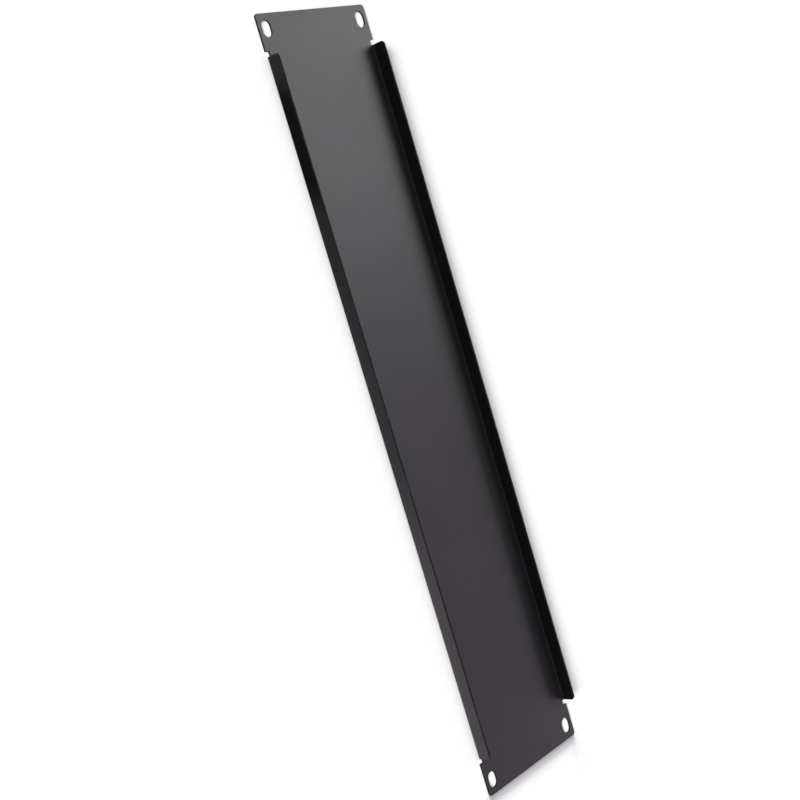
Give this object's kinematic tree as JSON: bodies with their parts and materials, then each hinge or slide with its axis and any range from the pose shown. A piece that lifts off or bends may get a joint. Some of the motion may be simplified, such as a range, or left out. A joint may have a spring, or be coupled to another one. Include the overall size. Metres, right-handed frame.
{
  "type": "rack blanking panel",
  "caption": "Long flat sheet-steel cover for an empty rack space, with both long edges folded back, relief notches at the folds and slotted holes in the end ears.",
  "frame": {"origin": "middle of the front face, which lies on Z = 0", "axes": "+X along the length of the panel, +Y across it, +Z from the front face back into the rack, the way both folds point"},
  "size_m": [0.4826, 0.0882, 0.0102],
  "materials": {
    "panel": "satin black powder coat with a fine texture"
  },
  "bodies": {
    "root": {"panel": "panel"}
  },
  "joints": []
}
